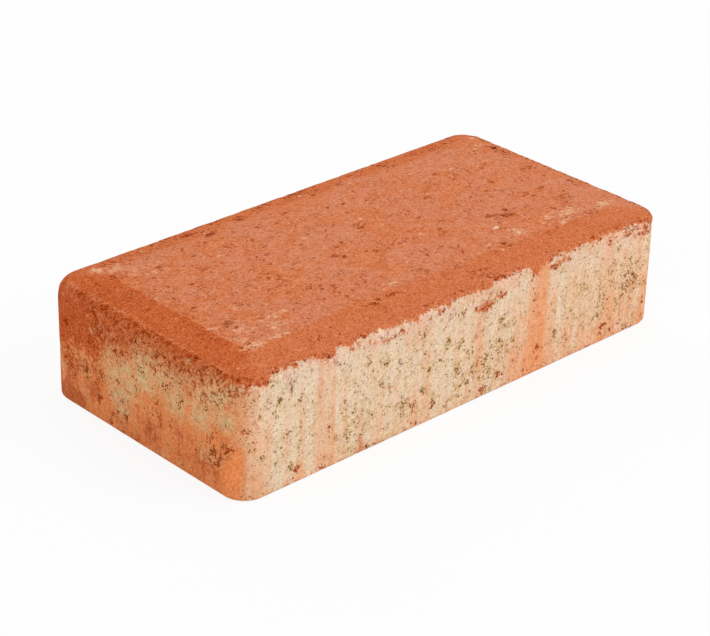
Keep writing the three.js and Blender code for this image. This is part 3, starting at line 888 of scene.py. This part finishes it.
class Wire:
    """One socket in a material. Arithmetic on it adds the Math nodes that work it out."""

    def __init__(self, tree, socket):
        self.tree = tree
        self.socket = socket

    def node(self, kind, settings=None, sockets=None, out=0):
        """Any node: its settings are set first, then its sockets' values or links."""
        made = self.tree.nodes.new(kind)
        for name, value in (settings or {}).items():
            setattr(made, name, value)
        for key, value in (sockets or {}).items():
            if isinstance(value, Wire):
                self.tree.links.new(value.socket, made.inputs[key])
            else:
                made.inputs[key].default_value = value
        return Wire(self.tree, made.outputs[out] if len(made.outputs) else None)

    def math(self, operation, *values):
        """A Math node on this wire and other values."""
        sockets = dict(enumerate((self, *values)))
        return self.node("ShaderNodeMath", {"operation": operation}, sockets)

    def __add__(self, other):
        return self.math("ADD", other)

    def __sub__(self, other):
        return self.math("SUBTRACT", other)

    def __rsub__(self, other):
        return (self * -1.0).math("ADD", other)

    def __mul__(self, other):
        return self.math("MULTIPLY", other)

    def __truediv__(self, other):
        return self.math("DIVIDE", other)

    __radd__ = __add__
    __rmul__ = __mul__

    def kept(self, low=0.0, high=1.0):
        """The value, held between low and high."""
        return self.math("MINIMUM", high).math("MAXIMUM", low)

    def rise(self, low, high):
        """0 below low, 1 above high, and a smooth slope between, as for the points."""
        smoothly = {"interpolation_type": "SMOOTHSTEP"}
        return self.node("ShaderNodeMapRange", smoothly, {0: self, 1: low, 2: high})

    def vector(self, operation, other):
        """A Vector Math node on this wire and another value."""
        return self.node("ShaderNodeVectorMath", {"operation": operation}, {0: self, 1: other})

    def scaled(self, by):
        """A colour or a vector, times one number."""
        return self.node("ShaderNodeVectorMath", {"operation": "SCALE"}, {0: self, "Scale": by})

    def between(self, first, second):
        """A colour: the first one where this share is 0, and the second where it is 1."""
        sockets = {0: self, 6: first, 7: second}
        return self.node("ShaderNodeMix", {"data_type": "RGBA"}, sockets, out=2)


print("a wire's methods:", ", ".join(name for name in vars(Wire) if not name.startswith("_")))

# %% [markdown]
# ## Places and noise for the stone's material
#
# The material reads Object coordinates: the stone's own place in millimetres, so the grain
# is the same size all over and runs round the corners. A noise can be stretched, which is
# how an upright drag mark is drawn.

# %% Start the material
material = bpy.data.materials.new("pressed_concrete")
material.use_nodes = True
tree = material.node_tree
tree.nodes.clear()
start = Wire(tree, None)
place = start.node("ShaderNodeTexCoord", out=3).scaled(1 / MM)
along, across, up = (
    start.node("ShaderNodeSeparateXYZ", sockets={0: place}, out=axis) for axis in range(3)
)


def pattern(name):
    """One of the stone's point attributes."""
    return start.node("ShaderNodeAttribute", {"attribute_name": name}, out=2)


def grain(size, seed, detail=2.0, sharpness=0.5, stretch=(1, 1, 1)):
    """Noise of about this size in millimetres, from -0.5 to 0.5. Each seed looks at another
    place in it, more detail adds finer layers, and stretch lengthens its grains."""
    scale = [1 / (size * s) for s in stretch]
    shift = [37.1 * seed, 11.7 * seed, 23.3 * seed]
    spot = place.vector("MULTIPLY", scale).vector("ADD", shift)
    sockets = {"Vector": spot, "Scale": 1.0, "Detail": detail, "Roughness": sharpness}
    return start.node("ShaderNodeTexNoise", sockets=sockets) - 0.5


def colour(red, green, blue):
    """A colour as a paint chart gives it, 0 to 255, turned into the linear shares of light."""
    shares = np.array([red, green, blue]) / 255
    linear = np.where(shares <= 0.04045, shares / 12.92, ((shares + 0.055) / 1.055) ** 2.4)
    return (*linear.tolist(), 1.0)


def tell(step):
    """Prints how far the material has grown."""
    print(f"{len(tree.nodes)} nodes after the {step}")


tell("start")

# %% [markdown]
# ## Grain at every size
#
# Sand, cement and air are mixed at every scale, so a close look at concrete never gets
# smooth. Four noises, each about three times coarser than the last, cover what the eye
# sees from half a millimetre to the whole stone. They are shared by everything that
# follows, so that a dark spot in the colour is also a dip in the bump.

# %% Four sizes of grain
grit = grain(0.7, 1, 2.0, 0.6)
gravel = grain(1.9, 2, 2.0, 0.6)
mottle = grain(5.5, 3, 2.0, 0.6)
clouds = grain(19.0, 4, 2.0)
left = pattern("toward_left")
under_share = pattern("under")
tell("grain")

# %% [markdown]
# ## The two mixes and their torn edge
#
# The line from the points is smooth. On the stone it is torn into teeth about a
# millimetre wide, so noise moves the edge up and down, far more where the mix was smeared.
# Loose flecks of red are left below it, fewer the further down.

# %% Masks of the face mix
teeth = grain(1.4, 5, 3.0, 0.65)
edge = pattern("above_line") + (teeth + 0.5 * gravel) * pattern("tear_reach")
face_mix = (edge / pattern("tear_blur")).rise(-0.5, 0.5)
below = pattern("above_line").rise(-7.0, 0.0) * (1 - under_share)
flecks = (grain(1.0, 6, 2.0, 0.6) + 0.09 * below).rise(0.15, 0.19) * below
face_mix = face_mix.math("MAXIMUM", 0.75 * flecks)
tell("masks")

# %% [markdown]
# ## The red face mix and its film
#
# Iron oxide colours it. The left band keeps the full colour, and it is deeper still at the
# back end of the left side, where the mix was smeared on thick. Everywhere else the film
# of cement dulls it, thicker here and thinner there, and turns it pink in clouds where it
# lies thickest, towards the front left corner of the top. Over the bands, the film's paler
# red is partly painted sheen.

# %% Colour the face mix
RED = colour(205, 104, 57)
BRICK_RED = colour(194, 91, 48)
FILM = colour(219, 129, 86)
FILM_PINK = colour(214, 132, 96)

thick_smear = left * across.rise(18.0, 32.0) * up.rise(43.0, 39.0)
brick_share = (0.4 * mottle + 0.5 * clouds + 0.09 * thick_smear).rise(-0.08, 0.12)
red = brick_share.between(RED, BRICK_RED)
pit_noise = grain(1.3, 7, 2.0, 0.6)
pit_sum = pit_noise + 0.60 * grain(7.0, 8, 2.0) + 0.03 * pattern("film")
film_gaps = 0.5 * clouds + 0.7 * mottle + 0.4 * gravel - 0.3 * pit_sum.rise(0.10, 0.20)
# On the bands this paler cover is partly painted sheen.
film_cover = (pattern("film") + 0.65 * pattern("film") * film_gaps).kept()
towards_left = along.rise(-35.0, -65.0)
towards_front = across.rise(-18.0, -30.0)
pink = mottle + clouds + 0.10 * towards_left + 0.08 * towards_front
pink_share = pink.rise(-0.2, 0.2) * pattern("film").rise(0.6, 1.0)
red = film_cover.between(red, pink_share.between(FILM, FILM_PINK))
tell("red and its film")

# %% [markdown]
# ## Pits, sand and scuffs in the red
#
# A pit is painted darker red, both the fine ones of the noise and the larger ones of the
# points, partly for its own deeper red and partly as painted shade inside it. Grains of
# sand show light, and a scuff is a patch of dusty scratches, drawn out along the stone,
# with the red between them. The left arris gets a light rim too, partly wear and partly a
# painted highlight.

# %% Marks in the face mix
# The pit red is partly the pits' colour and partly painted shade.
PIT_RED_AND_SHADE = colour(156, 62, 24)
# Pale sand, also used for the painted highlight on the left arris rim.
PALE_SAND_AND_HIGHLIGHT = colour(238, 160, 114)
SCUFF = colour(240, 188, 148)

pits = pit_sum.rise(0.18, 0.26)
hollows = (pattern("hollow") + 1.5 * pit_noise + 0.8 * gravel).rise(0.40, 0.66)
# Pits and hollows are painted darker red: partly their colour, partly painted shade.
red = (0.65 * pits + 0.68 * hollows).kept(0.0, 0.85).between(red, PIT_RED_AND_SHADE)
sand = (grain(1.0, 9, 1.0) + 0.02 * (1 - pattern("film")) + 0.03 * left).rise(0.20, 0.26)
red = (0.5 * sand).between(red, PALE_SAND_AND_HIGHLIGHT)
scratches = 2.6 * grain(1.1, 15, 3.0, 0.65, (1.6, 1, 1)) + 1.2 * gravel
scuffed = (pattern("scuff") + scratches).rise(0.25, 0.95) * pattern("scuff").rise(0.0, 0.25)
red = (0.7 * scuffed).between(red, SCUFF)
# The rim along the left arris is lightened: partly wear, partly a painted highlight.
red = (0.22 * pattern("rim") * (1 + 4.0 * gravel)).kept().between(red, PALE_SAND_AND_HIGHLIGHT)
tell("marks in the red")

# %% [markdown]
# ## The pale base mix
#
# Grey-white cement and yellow sand make a cream. It is warmer low down, towards the right
# end and just under the tear, yellower where damp drew salts through it round the grime,
# and milky in a strip under the arris. On the left side it is stained darker, tan to olive.

# %% Colour the base mix
CREAM = colour(237, 212, 182)
PINK_CREAM = colour(238, 190, 154)
MILKY_CREAM = colour(232, 210, 190)
YELLOW_CREAM = colour(222, 184, 132)
TAN = colour(233, 168, 116)
OLIVE_CREAM = colour(219, 182, 131)

right_end = along.rise(-70.0, 70.0)
low_down = up.rise(26.0, 2.0)
under_arris = up.rise(28.0, 40.0)
streaks = grain(4.0, 10, 2.0, 0.55, (1, 1, 20))
fine_streaks = grain(1.6, 11, 2.0, 0.55, (1, 1, 9))
warmth = 0.8 * streaks + 0.35 * fine_streaks + 0.12 * mottle + 0.5 * clouds
warmth = warmth + 0.07 * low_down + 0.10 * right_end + 0.20 * below - 0.03
base = warmth.rise(-0.10, 0.28).between(CREAM, PINK_CREAM)
chains = grain(5.0, 18, 2.0).math("ABSOLUTE").rise(0.03, 0.0)
lattice = left * grain(2.4, 24, 2.0).math("ABSOLUTE").rise(0.04, 0.0)
stain = grain(3.2, 22, 2.0, 0.6) + 0.09 * pattern("grime")
dirt = grain(0.8, 13, 3.0, 0.65) + 0.30 * stain + 0.055 * chains - 0.03 * pattern("drag")
dirt = dirt + (0.05 - 0.02 * left + 0.08 * lattice) * pattern("grime")
base = (0.6 * stain.rise(0.0, 0.20) + 0.25 * dirt.rise(0.05, 0.14)).between(base, YELLOW_CREAM)
milky = (0.6 * streaks + 0.5 * fine_streaks + 0.5 * clouds).rise(-0.10, 0.12) * under_arris
base = (0.6 * milky).between(base, MILKY_CREAM)
olive = (0.4 * gravel + mottle + 0.4 * streaks).rise(-0.12, 0.12).between(TAN, OLIVE_CREAM)
base = left.between(base, olive)
tell("pale base mix")

# %% [markdown]
# ## Smear and rust over the base mix
#
# Smeared face mix turns the cream peach in upright streaks, and orange on the left side,
# where rust darkens it towards the foot. Small orange flecks lie along the foot all round.

# %% Streaks, rust and the foot
PEACH = colour(240, 157, 107)
ORANGE = colour(232, 140, 85)
RUST = colour(184, 89, 50)
RUBBED_ORANGE = colour(247, 148, 90)

dragged = pattern("drag")
smear_noise = 1.3 * streaks + (0.5 + 1.2 * left) * mottle + 0.5 * left * gravel
smear = dragged + dragged.rise(0.0, 0.3) * smear_noise
base = smear.kept().between(base, left.between(PEACH, ORANGE))
rusty = (pattern("rust") + 2.0 * mottle + 1.5 * gravel + fine_streaks).rise(0.1, 0.9)
base = (0.8 * rusty).between(base, RUST)
base = (0.8 * pattern("corner_rub")).between(base, RUBBED_ORANGE)
foot_rust = 0.9 * grain(1.6, 17, 2.0, 0.6) + 0.18 * up.rise(7.0, 0.5) - 0.10 * left
near_foot = up.rise(9.0, 1.0)
foot_rust = foot_rust.rise(0.17, 0.3) * near_foot * (1 - under_share)
base = (0.6 * foot_rust).between(base, ORANGE)
tell("smear and rust")

# %% [markdown]
# ## Specks of dirt
#
# Dirt sits in the pores as olive and brown specks. They are the peaks of a fine noise that
# the grime lifts. Pores string together as the mix is pressed, and the places where a
# coarser noise crosses zero are thin winding lines, so these chain the specks, and a finer
# lattice of them does so on the left side. Fainter and smaller dots lie between the specks.

# %% Specks in the base mix
OLIVE_SPECK = colour(124, 90, 38)
BROWN_SPECK = colour(138, 58, 16)

specks = dirt.rise(0.145, 0.205)
browner = 0.6 * grain(7.0, 14) + 0.17 * left + 0.09 * right_end - 0.05
speck_colour = browner.rise(-0.06, 0.12).between(OLIVE_SPECK, BROWN_SPECK)
dots = grain(0.6, 21, 1.0).rise(0.12, 0.22) * (1 - specks) * (1 - 0.8 * dragged)
base = ((0.9 + 0.1 * left) * specks + 0.32 * dots).between(base, speck_colour)
tell("specks")

# %% [markdown]
# ## Crumbs
#
# Where the face mix tore or smeared, the surface is crumbs: dark red-brown ones of broken
# face mix, and a few pale grains among them. They lie over both mixes. The dark line
# along the left arris is in the red itself: partly dark crumbs, partly painted shade where
# the round turns from the light.

# %% Mix the two, and add the crumbs
# The rust crumb colour also paints the shade along the left arris.
CRUMB_RUST_AND_ARRIS_SHADE = colour(182, 76, 30)
CRUMB_DARK = colour(118, 36, 8)
PALE_GRAIN = colour(226, 154, 104)

# The line along the left arris is darkened: partly dark crumbs, partly painted shade.
red = (0.6 * pattern("undercut") * (1 + 4.0 * gravel)).kept().between(red, CRUMB_RUST_AND_ARRIS_SHADE)
skin = face_mix.between(base, red)
crumbling = pattern("crumbly")
crumb_noise = grain(1.8, 19, 4.0, 0.7)
crumb_cover = (crumb_noise + (0.09 - 0.02 * left) * crumbling).rise(0.085, 0.135)
crumb_cover = crumb_cover * crumbling.rise(0.05, 0.3)
crumb_depth = (gravel + 1.5 * crumb_noise - 0.10 * (1 - face_mix) - 0.06 * left).rise(0.05, 0.28)
skin = (0.95 * crumb_cover).between(skin, crumb_depth.between(CRUMB_RUST_AND_ARRIS_SHADE, CRUMB_DARK))
pale_grains = (0.04 * crumbling - crumb_noise).rise(0.07, 0.15) * crumbling.rise(0.1, 0.5)
skin = (0.4 * pale_grains).between(skin, PALE_GRAIN)
tell("crumbs")

# %% [markdown]
# ## Put the finish together
#
# Grain makes every patch a little lighter or darker, and it adds to dark colours less than
# to light ones, so it is scaled by the colour's square root. The same grain is the bump, so
# that the light agrees with the colour. Dry concrete is dull and its pores swallow nearly
# all shine; where the mould wall smeared it, it is a little smoother.

# %% Shader
BUMP_DEPTH = 0.3
GRAIN_SHARE = 0.6
SHINE = 0.01
CHIP = colour(250, 222, 184)

bare_grain = (1.6 * pattern("chip") + 1.4 * gravel).rise(0.35, 0.85)
skin = (1.1 * bare_grain * pattern("chip").kept(0.0, 0.75)).between(skin, CHIP)
base_room = 0.65 + 0.3 * left
rough_room = base_room + (1.0 + 0.15 * left - base_room) * face_mix + 0.3 * crumbling
shade = rough_room * (1.4 * grit + 0.35 * gravel) + (0.25 + 0.3 * left) * mottle + 0.12 * clouds
lightness = skin.node("ShaderNodeGamma", sockets={0: skin, 1: 0.5})
skin = skin.vector("ADD", lightness.scaled(GRAIN_SHARE * shade))
roughness = (0.9 - 0.12 * dragged * (1 - face_mix) + 0.25 * gravel).kept(0.6, 1.0)
dips = (pits + 0.8 * hollows) * face_mix + specks * (1 - face_mix) + crumb_cover
bump_height = rough_room * (0.6 * grit + 0.4 * gravel) - 0.4 * dips
bump_sockets = {"Distance": BUMP_DEPTH * MM, "Height": bump_height}
bump = start.node("ShaderNodeBump", sockets=bump_sockets)
skin_sockets = {"Base Color": skin, "Roughness": roughness, "Normal": bump}
skin_sockets["Specular IOR Level"] = SHINE
surface = start.node("ShaderNodeBsdfPrincipled", sockets=skin_sockets)
start.node("ShaderNodeOutputMaterial", sockets={"Surface": surface})
tell("finish")

# %% [markdown]
# ## The finished stone
#
# The mesh becomes an object, which stays at the origin, unturned and unscaled, because its
# points are already in their places. It stands in for the plain CAD block from here on.

# %% Put the stone in the scene
mesh.materials.append(material)
stone = bpy.data.objects.new("pressed_stone", mesh)
bpy.context.scene.collection.objects.link(stone)
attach(stone, "root")
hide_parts("paving_stone")
print(stone.name, "has", len(mesh.polygons), "faces and", len(mesh.attributes), "attributes")

# %% [markdown]
# ## Floor and world
#
# A cut-out product shot has a white sweep and soft light all round. The floor takes the
# stone's shadow, and the world lights it dimly. To the camera both should look white all
# the same, so a ray that shows them, and not their light, sees them glow.

# %% Floor and world
FLOOR_HALF = 3.0
FLOOR_WHITE = (0.92, 0.92, 0.92, 1.0)
PURE_WHITE = (1.0, 1.0, 1.0, 1.0)
FLOOR_GLOW = 0.90
WORLD_LIGHT = 0.48


def seen_directly(wire):
    """1 for the rays that show the background itself: to the camera, or in a reflection or
    through glass. 0 for the rays that carry its light."""
    rays = ("Is Camera Ray", "Is Glossy Ray", "Is Transmission Ray")
    camera_ray, glossy_ray, glass_ray = (wire.node("ShaderNodeLightPath", out=ray) for ray in rays)
    return (camera_ray + glossy_ray + glass_ray).kept()


floor_mesh = bpy.data.meshes.new("studio_floor")
floor_corners = FLOOR_HALF * np.array([(-1, -1, 0), (1, -1, 0), (1, 1, 0), (-1, 1, 0)])
floor_mesh.from_pydata(floor_corners, [], [(0, 1, 2, 3)])
floor = bpy.data.objects.new("studio_floor", floor_mesh)
bpy.context.scene.collection.objects.link(floor)

floor_material = bpy.data.materials.new("white_sweep")
floor_material.use_nodes = True
floor_material.node_tree.nodes.clear()
sweep = Wire(floor_material.node_tree, None)
pale = sweep.node("ShaderNodeBsdfDiffuse", sockets={"Color": FLOOR_WHITE})
glow = sweep.node("ShaderNodeEmission", sockets={"Color": PURE_WHITE, "Strength": 1.0})
glow_share = FLOOR_GLOW * seen_directly(sweep)
shown = sweep.node("ShaderNodeMixShader", sockets={0: glow_share, 1: pale, 2: glow})
sweep.node("ShaderNodeOutputMaterial", sockets={"Surface": shown})
floor_mesh.materials.append(floor_material)

world = bpy.data.worlds.new("studio")
world.use_nodes = True
bpy.context.scene.world = world
world.node_tree.nodes.clear()
sky = Wire(world.node_tree, None)
strength = WORLD_LIGHT + (1 - WORLD_LIGHT) * seen_directly(sky)
white_light = {"Color": PURE_WHITE, "Strength": strength}
background = sky.node("ShaderNodeBackground", sockets=white_light)
sky.node("ShaderNodeOutputWorld", sockets={"Surface": background})
bpy.context.scene.view_settings.view_transform = "Standard"
print(f"floor: {2 * FLOOR_HALF:.0f} m square, world light: {WORLD_LIGHT}")

# %% [markdown]
# ## Lamps
#
# Three softboxes stand round the stone, about two metres off, and face it. A softbox is a
# large square lamp, and the larger it is against its distance, the softer the shadow's
# edge. The key light comes from the camera's right, a weaker one fills in from its left,
# and one behind the stone lights the far band. Each has its place and its side in metres,
# and its power in watts.

# %% Lamps
SOFTBOXES = [
    ("key_softbox", (0.9, -1.3, 1.3), 1.0, 18.0),
    ("fill_softbox", (-1.6, -0.5, 0.8), 1.2, 7.0),
    ("back_softbox", (0.4, 1.6, 1.1), 1.2, 12.0),
]

for name, lamp_place, size, power in SOFTBOXES:
    lamp = bpy.data.lights.new(name, "AREA")
    lamp.shape = "SQUARE"
    lamp.size = size
    lamp.energy = power
    softbox = bpy.data.objects.new(name, lamp)
    softbox.location = lamp_place
    softbox.rotation_euler = (-softbox.location).to_track_quat("-Z", "Y").to_euler()
    bpy.context.scene.collection.objects.link(softbox)
    print(f"{name}: {power:.0f} W at {softbox.location.length:.2f} m")

# %% [markdown]
